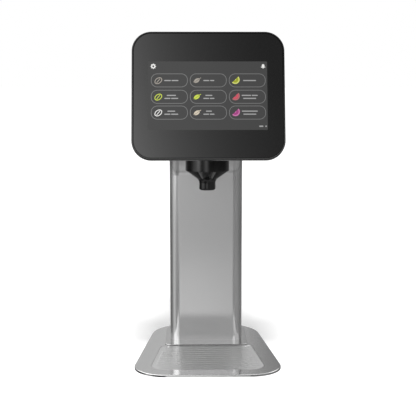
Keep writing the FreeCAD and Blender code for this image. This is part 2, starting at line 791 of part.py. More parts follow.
def make_socket():
    spigot = dim("spigot_diameter") / 2
    bore = 23.2
    flange_radius = 33
    face = SOCKET_TOP - SOCKET_FLANGE
    groove = NOZZLE_INSIDE - 0.1 - 2 * O_RING_WIRE
    half_groove = 1.2
    points = [(bore, SPIGOT_BOTTOM), (spigot - 0.6, SPIGOT_BOTTOM), (spigot, SPIGOT_BOTTOM + 0.6)]
    for level in O_RING_LEVELS:
        low, high = level - half_groove, level + half_groove
        points += [(spigot, low), (groove, low), (groove, high), (spigot, high)]
    points += [
        (spigot, face),
        (flange_radius, face),
        (flange_radius, SOCKET_TOP - 0.8),
        (flange_radius - 0.8, SOCKET_TOP),
        (bore, SOCKET_TOP),
    ]
    body = body_turned("nozzle_socket", points)
    holes = sketch_on(body, "XY_Plane", face)
    for place in SOCKET_SCREWS:
        ring(holes, place.x, place.y, 2 * SMALL_SCREW + 0.2)
    pocket(body, holes, SOCKET_FLANGE, True)
    dress(body, "Chamfer", 0.9 * SMALL_SCREW, lambda e: at_level("Z", face)(e) and e.Length < 15)
    on_nozzle_axis(body)
    upside_down = Rotation(Vector(1, 0, 0), 180)
    group(
        "nozzle_socket_screws",
        countersunk_screw(SMALL_SCREW, 5.9),
        [Placement(place + Vector(0, NOZZLE_Y, face + 0.05), upside_down) for place in SOCKET_SCREWS],
    )
    o_ring = Part.makeTorus(groove + O_RING_WIRE, O_RING_WIRE)
    places = [Placement(Vector(0, NOZZLE_Y, level), Rotation()) for level in O_RING_LEVELS]
    group("socket_o_rings", o_ring, places)


# Nozzle: skirt, cone and tip turned as one wall, with a finned diffuser inside.
def make_nozzle():
    skirt = dim("nozzle_diameter") / 2
    tip = dim("tip_diameter") / 2
    shoulder = dim("nozzle_shoulder")
    cone_end = shoulder - dim("nozzle_cone_drop")
    top = SOCKET_TOP - SOCKET_FLANGE - 0.3
    tip_wall = 3.2
    wall_rise = 1.0
    throat_radius = 7
    lip_radius = 2.6
    body = body_turned(
        "nozzle",
        [
            (tip - tip_wall, dim("tip_end")),
            (tip, dim("tip_end")),
            (tip, cone_end),
            (skirt, shoulder),
            (skirt, top),
            (NOZZLE_INSIDE, top),
            (NOZZLE_INSIDE, shoulder + wall_rise),
            (tip - tip_wall, cone_end + wall_rise),
        ],
    )

    def outer_edge(level, radius):
        def chosen(edge):
            return at_level("Z", plain(level))(edge) and abs(edge.BoundBox.XMax - plain(radius)) < 0.01

        return chosen

    dress(body, "Fillet", throat_radius, outer_edge(cone_end, tip))
    dress(body, "Fillet", 0.8, outer_edge(shoulder, skirt))
    dress(body, "Fillet", lip_radius, outer_edge(dim("tip_end"), tip))
    on_nozzle_axis(body)

    rim_radius, rim_wall, height = 23.7, 1.6, 3
    level = shoulder - 1.0
    diffuser = new_body("nozzle_diffuser")
    rim = sketch_on(diffuser, "XY_Plane", level)
    ring(rim, 0, 0, 2 * rim_radius)
    ring(rim, 0, 0, 2 * (rim_radius - rim_wall))
    pad(diffuser, rim, height)
    fin = sketch_on(diffuser, "XY_Plane", level)
    half_fin, reach = 0.6, rim_radius - rim_wall / 2
    polygon(fin, [(0, -half_fin), (reach, -half_fin), (reach, half_fin), (0, half_fin)])
    first_fin = pad(diffuser, fin, height)
    pattern = diffuser.newObject("PartDesign::PolarPattern", "nozzle_diffuser_fins")
    pattern.Originals = [first_fin]
    pattern.Axis = (origin_part(diffuser, "Z_Axis"), [""])
    pattern.Angle = 360
    pattern.Occurrences = 6
    diffuser.Tip = pattern
    doc.recompute()
    hub = sketch_on(diffuser, "XY_Plane", level)
    ring(hub, 0, 0, 8)
    pad(diffuser, hub, height)
    on_nozzle_axis(diffuser)


# Hoses and the cable: straight runs joined by tangent arcs.
def rounded_path(points, radii):
    """Wire of straight runs through the points, with an arc of the given radius at each inner point."""
    edges = []
    start = points[0]
    for before, corner, after, radius in zip(points, points[1:], points[2:], radii):
        into = (corner - before).normalize()
        out = (after - corner).normalize()
        turn = into.getAngle(out)
        reach = radius * math.tan(turn / 2)
        arc_start = corner - into * reach
        arc_end = corner + out * reach
        inward = (out - into).normalize()
        middle = corner + inward * (radius / math.cos(turn / 2) - radius)
        edges.append(Part.LineSegment(start, arc_start).toShape())
        edges.append(Part.Arc(arc_start, middle, arc_end).toShape())
        start = arc_end
    edges.append(Part.LineSegment(start, points[-1]).toShape())
    return Part.Wire(edges)


def swept(path, radius):
    start = path.Edges[0].Vertexes[0].Point
    along = path.Edges[0].tangentAt(path.Edges[0].FirstParameter)
    profile = Part.Wire([Part.Circle(start, along, radius).toShape()])
    return path.makePipeShell([profile], True, False)


def make_tubes():
    bend = plain(dim("tube_bend"))
    bottom = 42
    bend_y = -14 - bend
    for number, (x, _, level, column_y, radius) in enumerate(LINES, 1):
        corner = Vector(x, column_y, level)
        arc = column_y - bend_y
        path = rounded_path([Vector(x, column_y, bottom), corner, Vector(x, MANIFOLD_BACK + 1, level)], [arc])
        wall = plain(dim("tube_wall"))
        label = "water_tube" if x == 0 else f"flavour_tube_{number}"
        piece = new_piece("Part::Feature", label)
        piece.Shape = swept(path, radius).cut(swept(path, radius - wall))
        section = math.pi * (radius ** 2 - (radius - wall) ** 2)
        ratio = piece.Shape.Volume / (section * path.Length)
        print(f"{label}: bend radius {arc:.0f} mm, volume ratio {ratio:.4f}")


CABLE_SOCKET = (17, 15)
CABLE_START = 53
CABLE_X = 32
CABLE_PLUG = (CABLE_X, -8, -30)


def make_cable():
    turn_in = head_place(CABLE_X, CABLE_PLUG[1], -43.4).Base
    level = turn_in.z
    points = [
        Vector(*CABLE_SOCKET, CABLE_START),
        Vector(*CABLE_SOCKET, 70),
        Vector(CABLE_X, 15, 96),
        Vector(CABLE_X, 15, level),
        turn_in,
        head_place(*CABLE_PLUG).Base,
    ]
    radii = [25, 25, 40, 40]
    path = rounded_path(points, radii)
    radius = plain(dim("cable_diameter")) / 2
    piece = new_piece("Part::Feature", "data_cable")
    piece.Shape = swept(path, radius)
    ratio = piece.Shape.Volume / (math.pi * radius ** 2 * path.Length)
    print(f"data_cable: radii {radii} mm, length {path.Length:.0f} mm, volume ratio {ratio:.4f}")


# Hose bracket in the column foot, with a push-in fitting for each tube and the cable socket.
BRACKET_TOP = 40
BRACKET_SHEET = 2
BRACKET_HALF = 48


def make_hose_bracket():
    foot = plain(FOOT_PLATE_TOP)
    width = 50
    body = new_body("hose_bracket")
    profile = sketch_on(body, "XZ_Plane")
    out, sheet_gauge, top = BRACKET_HALF, BRACKET_SHEET, BRACKET_TOP
    polygon(
        profile,
        [
            (-out, foot), (-out, top), (out, top), (out, foot),
            (out - sheet_gauge, foot), (out - sheet_gauge, top - sheet_gauge),
            (sheet_gauge - out, top - sheet_gauge), (sheet_gauge - out, foot),
        ],
    )
    pad(body, profile, width, False, True)
    holes = sketch_on(body, "XY_Plane", top)
    for x, _, _, y, tube in LINES:
        ring(holes, x, y, 2 * (tube + 1.5))
    ring(holes, *CABLE_SOCKET, 12.2)
    pocket(body, holes, 5)

    def fitting(tube):
        """Push-in fitting: threaded barrel, nut and collar clamped on the bracket, release sleeve."""
        bore, sleeve, barrel, collar = tube + 0.1, tube + 1.0, tube + 1.4, tube + 2.2
        under = top - sheet_gauge
        return [
            (bore, 20), (barrel, 20), (barrel, under - 4), (collar, under - 4), (collar, under),
            (barrel, under), (barrel, top), (collar, top), (collar, top + 5), (barrel, top + 5),
            (barrel, top + 12), (sleeve, top + 12), (sleeve, top + 14), (bore, top + 14),
        ]

    flavour = [line for line in LINES if line[0]]
    shape = turned(fitting(plain(dim("flavour_tube")) / 2))
    group("flavour_fittings", shape, [Placement(Vector(x, y, 0), Rotation()) for x, _, _, y, _ in flavour])
    water = body_turned("water_fitting", fitting(plain(dim("water_tube")) / 2))
    water.Placement = Placement(Vector(0, LINES[-1][3], 0), Rotation())

    shell, flange, neck, cup = 6, 6.6, 5, 3.6
    socket = body_turned(
        "cable_socket",
        [
            (cup, 24), (shell, 24), (shell, top), (flange, top), (flange, top + 3), (neck, top + 3),
            (neck, CABLE_START), (0, CABLE_START), (0, 32), (cup, 32),
        ],
    )
    socket.Placement = Placement(Vector(*CABLE_SOCKET, 0), Rotation())


def make_tube_combs():
    for label, level in (("tube_comb_lower", 120), ("tube_comb_upper", 225)):
        holes = [(x, y, 2 * tube + 0.4) for x, _, _, y, tube in LINES]
        holes.append((CABLE_X, 15, dim("cable_diameter") + 0.4))
        plate(label, COLUMN_INSIDE[0], 44, 3, 5, level, holes=holes)


# Head: bezel, glass, display and board are drawn in the head's frame.
BEZEL_BACK = -dim("bezel_depth")
LEDGE = -(dim("glass_sunk") + dim("glass_thickness") + dim("tape_thickness"))
PANEL_WINDOW = (168, 104)
PANEL_CENTRE = 0.3
POSTS = [(x, y) for x in (-75, 75) for y in (-60, 60)]
POST_BACK = -8.9
DISPLAY_BRACKET_SHEET = 1.2
SKIRT_DEPTH = 7
HOUSING_SCREWS = [(x, side) for side in (-1, 1) for x in (-60, 0, 60)]
BOLTS = [(x, y) for x in (-44, 44) for y in (-54, 0)]
BOLT_RADIUS = 2.5
REAR_OPENING = (74, 48, 5, 0, -23)
HOUSING_BACK = (136, 122, 16, -7)


def make_bezel():
    body = new_body("head_bezel")
    outline = sketch_on(body, "XY_Plane", BEZEL_BACK)
    rounded(outline, dim("head_width"), dim("head_height"), dim("head_radius"))
    pad(body, outline, dim("bezel_depth"))
    dress(body, "Fillet", 1.4, at_level("Z", 0))
    dress(body, "Fillet", 0.8, at_level("Z", plain(BEZEL_BACK)))
    seat = sketch_on(body)
    lip = dim("bezel_lip")
    rounded(seat, dim("head_width") - 2 * lip, dim("head_height") - 2 * lip, dim("head_radius") - lip)
    pocket(body, seat, -LEDGE)
    window = sketch_on(body)
    rounded(window, *PANEL_WINDOW, 3, 0, PANEL_CENTRE)
    pocket(body, window)
    inset = 2 * (dim("housing_inset") + dim("housing_wall") + 0.2)
    corner = dim("head_radius") - dim("housing_inset") - dim("housing_wall") - 0.2
    skirt = sketch_on(body, "XY_Plane", BEZEL_BACK)
    rounded(skirt, dim("head_width") - inset, dim("head_height") - inset, corner)
    rounded(skirt, dim("head_width") - inset - 5, dim("head_height") - inset - 5, corner - 2.5)
    pad(body, skirt, SKIRT_DEPTH, True)
    posts = sketch_on(body, "XY_Plane", BEZEL_BACK)
    for x, y in POSTS:
        ring(posts, x, y, 8)
    pad(body, posts, -POST_BACK - dim("bezel_depth"), True)
    pilots = sketch_on(body, "XY_Plane", POST_BACK)
    for x, y in POSTS:
        ring(pilots, x, y, 2 * SMALL_SCREW + 0.1)
    pocket(body, pilots, 4, True)
    taps = sketch_on(body, "XZ_Plane")
    for x in (-60, 0, 60):
        ring(taps, x, BEZEL_BACK - SKIRT_DEPTH / 2, 2 * SMALL_SCREW + 0.1)
    cut = body.newObject("PartDesign::Pocket", "head_bezel_taps")
    cut.Profile = taps
    cut.SideType = "Symmetric"
    cut.Type = "Length"
    cut.Length = 200
    doc.recompute()
    on_head(body)


def make_glass():
    gap = 0.2
    lip = dim("bezel_lip") + gap
    body = plate(
        "touch_glass",
        dim("head_width") - 2 * lip, dim("head_height") - 2 * lip, dim("head_radius") - lip,
        dim("glass_thickness"), -dim("glass_sunk") - dim("glass_thickness"),
    )
    dress(body, "Chamfer", 0.4, at_level("Z", plain(-dim("glass_sunk"))))
    on_head(body)
    tape = plate(
        "glass_tape",
        dim("head_width") - 2 * lip - 1, dim("head_height") - 2 * lip - 1, dim("head_radius") - lip - 0.5,
        dim("tape_thickness"), LEDGE,
        windows=[(*PANEL_WINDOW, 3, 0, PANEL_CENTRE)],
    )
    on_head(tape)


def make_display():
    panel_front = -3.4
    panel = plate(
        "lcd_panel", dim("panel_width"), dim("panel_height"), 1.5, dim("panel_thickness"),
        panel_front - dim("panel_thickness"), 0, PANEL_CENTRE,
    )
    on_head(panel)
    bracket_back = POST_BACK - DISPLAY_BRACKET_SHEET
    bracket = plate(
        "lcd_bracket", 160, 130, 5, DISPLAY_BRACKET_SHEET, bracket_back,
        holes=[(x, y, 2 * SMALL_SCREW + 0.3) for x, y in POSTS]
        + [(x, y, 2 * SMALL_SCREW + 0.3) for x, y in BOARD_HOLES],
        windows=[(40, 8, 2, 0, -40)],
    )
    on_head(bracket)
    group(
        "lcd_screws",
        pan_screw(SMALL_SCREW, 4.5),
        [head_place(x, y, bracket_back, True) for x, y in POSTS],
    )


BOARD_CENTRE = 12
BOARD_HOLES = [(x, BOARD_CENTRE + y) for x in (-50, 50) for y in (-32, 32)]
SPACER_LENGTH = 7
BOARD_FRONT = POST_BACK - DISPLAY_BRACKET_SHEET - SPACER_LENGTH
BOARD_SHEET = 1.6


def make_board():
    spacer = turned([(1.65, 0), (2.75, 0), (2.75, SPACER_LENGTH), (1.65, SPACER_LENGTH)])
    group("board_spacers", spacer, [head_place(x, y, BOARD_FRONT) for x, y in BOARD_HOLES])
    board_back = BOARD_FRONT - BOARD_SHEET
    board = plate(
        "controller_board", 112, 76, 3, BOARD_SHEET, board_back, 0, BOARD_CENTRE,
        holes=[(x, y, 2 * SMALL_SCREW + 0.3) for x, y in BOARD_HOLES],
    )
    on_head(board)
    group(
        "board_screws",
        pan_screw(SMALL_SCREW, 8.8),
        [head_place(x, y, board_back, True) for x, y in BOARD_HOLES],
    )
    blocks = [
        (CABLE_X, CABLE_PLUG[1], 12, 9, -CABLE_PLUG[2] + board_back),
        (0, -16, 36, 6, 5),
        (-34, -14, 14, 10, 8),
        (-8, 14, 18, 18, 2),
        (22, 20, 12, 12, 1.8),
        (-34, 28, 10, 14, 6),
    ]
    shapes = []
    for x, y, width, height, rise in blocks:
        block = Part.makeBox(width, height, rise, Vector(x - width / 2, y - height / 2, board_back - rise))
        block.Placement = HEAD.multiply(block.Placement)
        shapes.append(block)
    piece = new_piece("Part::Feature", "board_connectors")
    piece.Shape = Part.makeCompound(shapes)
    ribbon = new_body("display_ribbon")
    profile = sketch_on(ribbon, "YZ_Plane")
    strip, low, high, run = 0.3, -40, -24, -14
    polygon(
        profile,
        [
            (low, POST_BACK), (low, run - strip), (high, run - strip), (high, BOARD_FRONT),
            (high + strip, BOARD_FRONT), (high + strip, run), (low + strip, run), (low + strip, POST_BACK),
        ],
    )
    pad(ribbon, profile, 32, False, True)
    on_head(ribbon)


def make_housing():
    outer = housing_form("housing_outside", Size("0", 0))
    inner = housing_form("housing_inside", dim("housing_wall"))
    hollow = doc.addObject("Part::Cut", "housing_hollow")
    hollow.Base = outer
    hollow.Tool = inner
    cuts = new_body("housing_cuts", False)
    cuts.AllowCompound = True
    back = sketch_on(cuts, "XY_Plane", -dim("housing_depth") - 1)
    rounded(back, *REAR_OPENING)
    for x, y in BOLTS:
        ring(back, x, y, 2 * BOLT_RADIUS + 0.3)
    for slot in range(6):
        rounded(back, 58, 2.4, 1.15, 0, 17 + 5 * slot)
    pad(cuts, back, dim("housing_wall") + 2)
    side = sketch_on(cuts, "XZ_Plane")
    for x in (-60, 0, 60):
        ring(side, x, BEZEL_BACK - SKIRT_DEPTH / 2, 2 * SMALL_SCREW + 0.3)
    pad(cuts, side, 200, False, True)
    housing = new_piece("Part::Cut", "head_housing")
    housing.Base = hollow
    housing.Tool = cuts
    on_head(housing)
    reach = plain(dim("head_height")) / 2 - plain(dim("housing_inset"))
    level = plain(BEZEL_BACK) - SKIRT_DEPTH / 2
    group(
        "housing_screws",
        pan_screw(SMALL_SCREW, 5),
        [
            HEAD.multiply(Placement(Vector(x, side * reach, level), Rotation(Vector(1, 0, 0), -90 * side)))
            for x, side in HOUSING_SCREWS
        ],
    )


def housing_form(label, skin):
    """The housing's outer form for a skin of 0, or the space inside its wall."""
    body = new_body(label, False)
    inset = 2 * (dim("housing_inset") + skin)
    front = sketch_on(body, "XY_Plane", BEZEL_BACK + (1 if plain(skin) else 0))
    waist = sketch_on(body, "XY_Plane", -20)
    width, height, radius, centre = HOUSING_BACK
    rear = sketch_on(body, "XY_Plane", -dim("housing_depth") + skin)
    for section in (front, waist):
        corner = dim("head_radius") - dim("housing_inset") - skin
        rounded(section, dim("head_width") - inset, dim("head_height") - inset, corner)
    rounded(rear, width - 2 * skin, height - 2 * skin, radius - skin, 0, centre)
    straight = body.newObject("PartDesign::AdditiveLoft", f"{label}_straight")
    straight.Profile = front
    straight.Sections = [waist]
    straight.Ruled = True
    doc.recompute()
    taper = body.newObject("PartDesign::AdditiveLoft", f"{label}_taper")
    taper.Profile = waist
    taper.Sections = [rear]
    taper.Ruled = True
    doc.recompute()
    if plain(skin) == 0:
        dress(body, "Fillet", 5, at_level("Z", -plain(dim("housing_depth"))))
    return body


def make_head_bracket():
    back = -dim("housing_depth") - dim("bracket_thickness")
    body = plate(
        "head_bracket", 105, 69, 12, dim("bracket_thickness"), back, 0, -27.1,
        holes=[(x, y, 2 * BOLT_RADIUS + 0.1) for x, y in BOLTS],
        windows=[REAR_OPENING],
    )
    on_head(body)
    inner_face = -plain(dim("housing_depth")) + plain(dim("housing_wall"))
    group(
        "head_bracket_bolts",
        pan_screw(BOLT_RADIUS, 9),
        [head_place(x, y, inner_face) for x, y in BOLTS],
    )


make_base_plate()
make_drip_insert()
make_foot_flange()
make_foot_plate()
make_column()
make_arm()
make_manifold()
make_socket()
make_nozzle()
make_hose_bracket()
make_tube_combs()
make_tubes()
make_cable()
make_bezel()
make_glass()
make_display()
make_board()
make_housing()
make_head_bracket()
doc.recompute()

for thing in doc.Objects:
    if "Invalid" in thing.State or "Error" in thing.State:
        raise RuntimeError(f"{thing.Label} failed: {thing.State}")
os.makedirs("parts", exist_ok=True)
for piece in PIECES:
    shape = piece.Shape
    if shape.isNull() or not shape.isValid():
        raise RuntimeError(f"{piece.Label} has no valid shape")
    shape.exportStep(f"parts/{piece.Label}.step")
print(f"{len(PIECES)} sub-parts written")
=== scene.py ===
import math

import bmesh
import bpy
from mathutils import Matrix, Vector


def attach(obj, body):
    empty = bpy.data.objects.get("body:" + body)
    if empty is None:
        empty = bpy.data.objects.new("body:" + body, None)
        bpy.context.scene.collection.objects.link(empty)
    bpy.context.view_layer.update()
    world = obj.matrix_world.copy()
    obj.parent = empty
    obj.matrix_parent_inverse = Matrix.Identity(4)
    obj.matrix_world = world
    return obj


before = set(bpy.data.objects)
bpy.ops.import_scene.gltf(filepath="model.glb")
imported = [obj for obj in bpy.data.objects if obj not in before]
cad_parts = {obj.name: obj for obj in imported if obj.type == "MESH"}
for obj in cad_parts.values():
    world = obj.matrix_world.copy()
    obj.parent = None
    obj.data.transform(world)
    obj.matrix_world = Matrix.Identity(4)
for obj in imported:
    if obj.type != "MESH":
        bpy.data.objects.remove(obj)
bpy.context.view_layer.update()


# Stainless sheet, each piece with a fine even grain along it. The base plate and the flange under
# the column are polished and mirror what stands on them. The drip insert is satin, and column and
# arm are a duller metal brushed bright.
class Field:
    """A number that changes over a surface. Adding or multiplying it adds a Math node."""

    def __init__(self, finish, socket):
        self.finish = finish
        self.socket = socket

    def joined(self, operation, first, second):
        return self.finish.node("ShaderNodeMath", {"operation": operation}, {0: first, 1: second})

    def __add__(self, other):
        return self.joined("ADD", self, other)

    __radd__ = __add__

    def __mul__(self, other):
        return self.joined("MULTIPLY", self, other)

    __rmul__ = __mul__

    def __sub__(self, other):
        return self.joined("SUBTRACT", self, other)

    def __rsub__(self, other):
        return self.joined("SUBTRACT", other, self)

    def __truediv__(self, other):
        return self.joined("DIVIDE", self, other)

    def step(self, low, high):
        """0 at low, 1 at high, smooth between."""
        settings = {"interpolation_type": "SMOOTHSTEP", "clamp": True}
        inputs = {"Value": self, "From Min": low, "From Max": high}
        return self.finish.node("ShaderNodeMapRange", settings, inputs)


class Finish:
    """One material, or the world, with its nodes."""

    def __init__(self, name, owner=None, **surface):
        self.owner = owner or bpy.data.materials.new(name)
        self.owner.use_nodes = True
        self.tree = self.owner.node_tree
        self.tree.nodes.clear()
        if owner is None:
            self.shader = self.tree.nodes.new("ShaderNodeBsdfPrincipled")
            output = self.tree.nodes.new("ShaderNodeOutputMaterial")
            self.tree.links.new(self.shader.outputs[0], output.inputs["Surface"])
            self.set(**surface)

    def feed(self, socket, value):
        if isinstance(value, Field):
            self.tree.links.new(value.socket, socket)
        elif socket.type == "RGBA" and len(value) == 3:
            socket.default_value = (*value, 1.0)
        else:
            socket.default_value = value

    def node(self, kind, settings=None, inputs=None, output=0):
        """Any node: its type, its settings first, then what goes into it."""
        made = self.tree.nodes.new(kind)
        for name, value in (settings or {}).items():
            if name == "stops":
                ramp = made.color_ramp.elements
                while len(ramp) < len(value):
                    ramp.new(0.5)
                for element, (place, tone) in zip(ramp, value):
                    element.position = place
                    element.color = (tone, tone, tone, 1.0)
            else:
                setattr(made, name, value)
        for name, value in (inputs or {}).items():
            self.feed(made.inputs[name], value)
        return Field(self, made.outputs[output])

    def set(self, **surface):
        """Sets shader sockets: base_color=..., roughness=..."""
        for name, value in surface.items():
            self.feed(self.shader.inputs[name.replace("_", " ").title().replace("Ior", "IOR")], value)

    def place(self, scale=(1, 1, 1), turn=(0, 0, 0)):
        """The object's own coordinates in metres, scaled."""
        where = self.node("ShaderNodeTexCoord", output="Object")
        return self.node("ShaderNodeMapping", inputs={"Vector": where, "Scale": scale, "Rotation": turn})

    def part_of(self, vector, axis):
        return self.node("ShaderNodeSeparateXYZ", inputs={"Vector": vector}, output=axis)

    def noise(self, scale, stretch=(1, 1, 1), detail=3.0, rough=0.5):
        inputs = {"Vector": self.place(stretch), "Scale": scale, "Detail": detail, "Roughness": rough}
        return self.node("ShaderNodeTexNoise", inputs=inputs)

    def blend(self, amount, first, second):
        """Colour between two colours."""
        settings = {"data_type": "RGBA"}
        return self.node("ShaderNodeMix", settings, {0: amount, 6: first, 7: second}, output=2)

    def bump(self, height, strength, distance):
        inputs = {"Height": height, "Strength": strength, "Distance": distance}
        self.set(normal=self.node("ShaderNodeBump", inputs=inputs))


# Painted shadow: below a given height a piece is painted this dark colour, as shade where it meets the plate.
PAINTED_SHADOW_COLOR = (0.10,) * 3
PAINTED_SHADOW_BLUR = 0.0002


def brushed_steel(name, stretch, tone, dullness, polish=0.0, polish_dullness=0.0, painted_shadow_height=0.0):
    """Stainless steel with its grain along the axis whose stretch is small. Where it has a polish,
    the bright tops of the grain lie over a duller metal. Below a given height its colour is painted dark,
    a painted shadow where it meets the plate."""
    steel = Finish(name, metallic=1.0, coat_weight=polish, coat_ior=3.0, coat_roughness=polish_dullness)
    grain = steel.noise(1.0, stretch, detail=4.0, rough=0.65)
    haze = steel.noise(9.0, detail=2.0)
    shade = steel.blend(grain * 0.6 + haze * 0.4, (tone - 0.03,) * 3, (tone + 0.03,) * 3)
    # Painted shadow: the colour below the given height is painted dark.
    if painted_shadow_height:
        up = steel.part_of(steel.place(), "Z")
        shade = steel.blend(up.step(painted_shadow_height - PAINTED_SHADOW_BLUR, painted_shadow_height + PAINTED_SHADOW_BLUR), PAINTED_SHADOW_COLOR, shade)
    steel.set(base_color=shade, roughness=grain * 0.1 + (dullness - 0.05))
    steel.bump(grain, 0.02, 0.00004)
    return steel.owner


def finish_nodes(material, *names):
    for name in names:
        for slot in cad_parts[name].material_slots:
            slot.material = material


ALONG_X = (9, 1600, 1600)
ALONG_Y = (1600, 9, 1600)
ALONG_Z = (1600, 1600, 9)
FLANGE_PAINTED_SHADOW_TOP = 0.0038
BRUSHED_BRIGHT = {"tone": 0.33, "dullness": 0.60, "polish": 1.0, "polish_dullness": 0.16}
finish_nodes(brushed_steel("steel_base", ALONG_X, 0.78, 0.12), "base_plate")
# The flange is painted dark below its top rounding: a painted shadow line where it stands on the plate.
finish_nodes(brushed_steel("steel_flange", ALONG_X, 0.68, 0.12, painted_shadow_height=FLANGE_PAINTED_SHADOW_TOP), "foot_flange")
finish_nodes(brushed_steel("steel_insert", ALONG_X, 0.48, 0.30), "drip_insert")
finish_nodes(brushed_steel("steel_column", ALONG_Z, **BRUSHED_BRIGHT), "column_shell", "column_rear_cover")
finish_nodes(brushed_steel("steel_arm", ALONG_Y, **BRUSHED_BRIGHT), "arm_shell", "arm_underplate")


# Plain steel inside: the tapped foot plate, the folded hose bracket, the head's bolted bracket and
# the display's sheet bracket. Zinc-plated, so cooler and duller, with a faint spangle.
def plated_steel(name, tint):
    steel = Finish(name, metallic=1.0)
    spangle = steel.node("ShaderNodeTexVoronoi", inputs={"Vector": steel.place(), "Scale": 260.0})
    haze = steel.noise(30.0)
    steel.set(base_color=steel.blend(spangle * 0.5 + haze * 0.4, tint, tuple(0.8 * part for part in tint)))
    steel.set(roughness=haze * 0.2 + 0.28)
    steel.bump(haze, 0.1, 0.0002)
    return steel.owner


finish_nodes(plated_steel("steel_plated", (0.60, 0.61, 0.63)), "foot_plate", "hose_bracket", "head_bracket",
             "lcd_bracket")


# Screws and bolts: turned stainless with fine uneven marks from the tool, too fine to count. Those
# that hold head and housing are blackened. The brass spacers and cable socket are nickel-plated.
def turned_metal(name, tint, dullness):
    metal = Finish(name, metallic=1.0)
    marks = metal.noise(1.0, (2600, 2600, 2600), detail=1.0)
    patina = metal.noise(120.0)
    metal.set(base_color=metal.blend(patina, tint, tuple(0.82 * part for part in tint)))
    metal.set(roughness=marks * 0.12 + dullness)
    metal.bump(marks, 0.08, 0.00005)
    return metal.owner


finish_nodes(turned_metal("screw_steel", (0.56, 0.56, 0.57), 0.16), "foot_screws", "rear_cover_screws",
             "underplate_screws", "manifold_screws", "nozzle_socket_screws", "lcd_screws", "board_screws")
finish_nodes(turned_metal("screw_black", (0.09, 0.09, 0.095), 0.22), "housing_screws", "head_bracket_bolts")
finish_nodes(turned_metal("brass_nickel", (0.66, 0.58, 0.40), 0.18), "board_spacers", "cable_socket")


# Black plastic: the bezel's dull edge, painted lighter towards its foot than at its top as painted light, the
# polished nozzle, the housing with fine spark-eroded grain, and the nozzle's fixed socket, tube combs and
# connectors.
BEZEL_TOP = 0.43
BEZEL_FOOT = 0.29


def black_plastic(name, tone, dullness, grain_size, grain_height, shine=0.5, painted_light_foot_tone=None):
    plastic = Finish(name, specular_ior_level=shine)
    grain = plastic.noise(grain_size, detail=2.0)
    film = plastic.noise(14.0, detail=2.0)
    shade = (grain + film) * 0.25 + 1.0
    # Painted light: with a foot tone the colour grows lighter from the bezel's top to its foot.
    if painted_light_foot_tone:
        up = plastic.part_of(plastic.place(), "Z")
        shade = shade * (up.step(BEZEL_TOP, BEZEL_FOOT) * (painted_light_foot_tone - tone) + tone)
    else:
        shade = shade * tone
    plastic.set(base_color=shade, roughness=grain * 0.06 + film * 0.05 + dullness)
    plastic.bump(grain, 0.25, grain_height)
    return plastic.owner


# The bezel's colour is painted lighter towards its foot: painted light.
bezel_black = black_plastic("bezel_black", 0.003, 0.16, 420.0, 0.00001, shine=0.2, painted_light_foot_tone=0.025)
finish_nodes(bezel_black, "head_bezel")
finish_nodes(black_plastic("nozzle_black", 0.001, 0.04, 260.0, 0.000004), "nozzle")
finish_nodes(black_plastic("housing_black", 0.022, 0.42, 1500.0, 0.00006), "head_housing")
finish_nodes(black_plastic("moulded_black", 0.020, 0.36, 700.0, 0.00003), "nozzle_socket", "tube_comb_lower",
             "tube_comb_upper", "board_connectors")


# Touch glass: 3 mm glass printed black behind, so it reads as a deep even black with a clean
# reflection. Its edge is ground.
glass = Finish("black_glass", ior=1.52)
smear = glass.noise(5.0, (1, 1, 2), detail=2.0)
glass.set(base_color=glass.blend(smear, (0.0035,) * 3, (0.0055,) * 3), roughness=smear * 0.03 + 0.05)
glass.bump(glass.noise(2.0), 0.02, 0.0002)
finish_nodes(glass.owner, "touch_glass")


# Display module behind the glass, its ribbon, the foam tape and the controller board. Hidden in use,
# but each has its own finish: dark filter, amber film, grey foam and a board with copper tracks.
TILT = math.radians(14.5)

panel = Finish("panel_filter", base_color=(0.02, 0.02, 0.025))
panel.set(roughness=panel.noise(500.0) * 0.1 + 0.25)
finish_nodes(panel.owner, "lcd_panel")

ribbon = Finish("ribbon_film", coat_weight=0.3)
wires = ribbon.node("ShaderNodeTexWave", {"bands_direction": "X"}, {"Vector": ribbon.place(), "Scale": 320.0})
ribbon.set(base_color=ribbon.blend(wires, (0.55, 0.30, 0.07), (0.72, 0.46, 0.16)))
ribbon.set(roughness=wires * 0.1 + 0.3)
finish_nodes(ribbon.owner, "display_ribbon")

foam = Finish("foam_tape")
cells = foam.node("ShaderNodeTexVoronoi", inputs={"Vector": foam.place(), "Scale": 1800.0})
foam.set(base_color=foam.blend(cells, (0.02,) * 3, (0.07,) * 3), roughness=cells * 0.1 + 0.85)
foam.bump(cells, 0.5, 0.0001)
finish_nodes(foam.owner, "glass_tape")

board = Finish("board_green", coat_weight=0.4, coat_roughness=0.15)
tracks = board.node("ShaderNodeTexBrick", {"offset": 0.5}, {
    "Vector": board.place(turn=(TILT, 0, 0)), "Color1": (0.012, 0.10, 0.04),
    "Color2": (0.015, 0.14, 0.055), "Mortar": (0.05, 0.22, 0.08), "Scale": 90.0, "Mortar Size": 0.03})
board.set(base_color=tracks, roughness=board.noise(300.0) * 0.15 + 0.3)
finish_nodes(board.owner, "controller_board")


# Wet parts: milky hose, white acetal manifold and diffuser, grey push-in fittings, soft silicone
# valves, and black rubber O-rings and cable sleeve.
def moulded(name, dark, light, dullness, grain_size=300.0):
    plastic = Finish(name)
    grain = plastic.noise(grain_size, detail=2.0)
    cloud = plastic.noise(25.0)
    plastic.set(base_color=plastic.blend(grain * 0.4 + cloud * 0.6, dark, light))
    plastic.set(roughness=grain * 0.1 + dullness)
    plastic.bump(grain, 0.15, 0.00003)
    return plastic.owner


